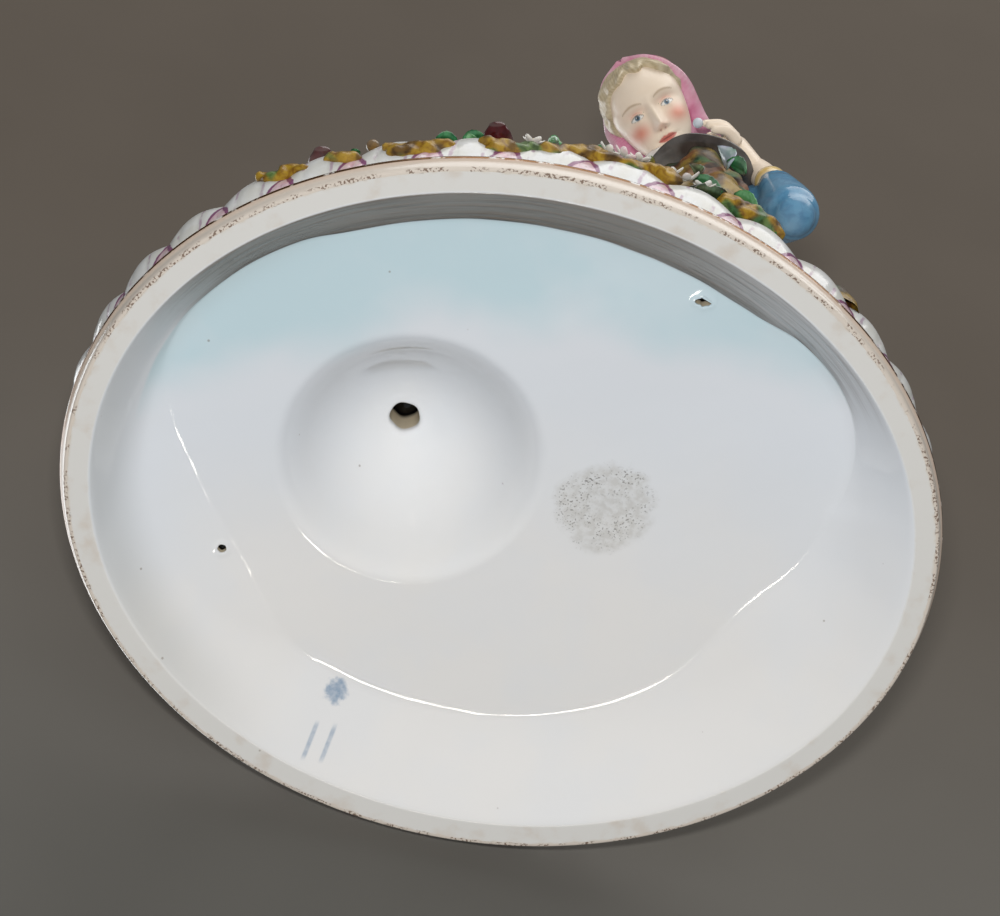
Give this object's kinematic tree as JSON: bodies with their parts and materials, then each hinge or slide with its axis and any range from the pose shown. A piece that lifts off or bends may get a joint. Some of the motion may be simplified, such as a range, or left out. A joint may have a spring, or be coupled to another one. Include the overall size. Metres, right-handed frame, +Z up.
{
  "type": "porcelain figure group",
  "caption": "Glazed porcelain group of a seated man and a kneeling woman beside a mossy stump, on a hollow oval base with a scalloped scroll border and a plain foot ring.",
  "frame": {"origin": "middle of the box round the group, on the plane its foot ring stands on", "axes": "+X along the oval base's long axis to the right, -Y to the front the figures face, +Z up"},
  "size_m": [0.1984, 0.1678, 0.1522],
  "materials": {
    "porcelain": "clear glaze over white hard paste with painted enamels and gilding; unglazed gritty edge on the foot"
  },
  "bodies": {
    "root": {"figure_group": "porcelain"}
  },
  "joints": []
}
